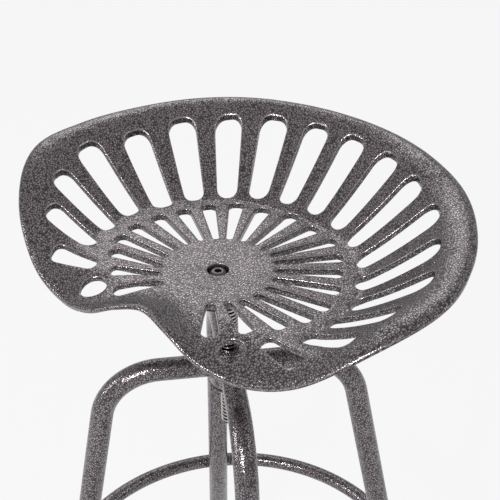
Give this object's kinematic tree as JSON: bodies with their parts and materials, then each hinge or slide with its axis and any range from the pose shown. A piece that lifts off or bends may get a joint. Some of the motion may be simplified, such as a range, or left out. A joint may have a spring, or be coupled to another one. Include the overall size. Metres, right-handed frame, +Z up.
{
  "type": "tractor seat stool",
  "caption": "Height-adjustable swivel stool: pierced cast tractor-style seat on a screw spindle, in a welded frame of bent tube legs with a round footrest.",
  "frame": {"origin": "on the floor under the spindle axis, at the middle of the feet", "axes": "+Z up along the spindle, +Y towards the seat's raised back, +X to the sitter's left hand as the sitter faces -Y"},
  "size_m": [0.4392, 0.3856, 0.6857],
  "materials": {
    "seat_coat": "dark pewter hammered powder coat, semi-gloss",
    "frame_coat": "dark pewter hammered powder coat, semi-gloss",
    "plate_steel": "dark rolled steel plate",
    "zinc_plate": "bright zinc plated",
    "spindle_steel": "zinc plated threaded rod",
    "bush_brass": "machined brass",
    "bush_nylon": "black nylon",
    "foot_rubber": "matt black rubber"
  },
  "bodies": {
    "base": {"hub_tube": "frame_coat", "thread_bush": "bush_brass", "leg_rear_right": "frame_coat", "leg_front_right": "frame_coat", "leg_front_left": "frame_coat", "leg_rear_left": "frame_coat", "foot_rear_right": "foot_rubber", "foot_front_right": "foot_rubber", "foot_front_left": "foot_rubber", "foot_rear_left": "foot_rubber", "footrest_ring": "frame_coat"},
    "guide": {"guide_bush": "bush_nylon"},
    "seat": {"seat_pan": "seat_coat", "mounting_plate": "plate_steel", "centre_bolt": "zinc_plate", "plate_bolt_1": "zinc_plate", "plate_bolt_2": "zinc_plate", "plate_bolt_3": "zinc_plate", "plate_washer_1": "zinc_plate", "plate_washer_2": "zinc_plate", "plate_washer_3": "zinc_plate", "spindle": "spindle_steel"}
  },
  "joints": [
    {"name": "seat_spin", "type": "hinge", "parent": "base", "child": "guide", "pos_m": [0, 0, 0.5], "axis": [0, 0, 1], "range_deg": [-4680, 4320]},
    {"name": "seat_lift", "type": "slide", "parent": "guide", "child": "seat", "axis": [0, 0, 1], "range_m": [-0.052, 0.048]}
  ],
  "couplings": [
    {"joint": "seat_lift", "follows": "seat_spin", "m_per_rad": 0.0006366}
  ]
}
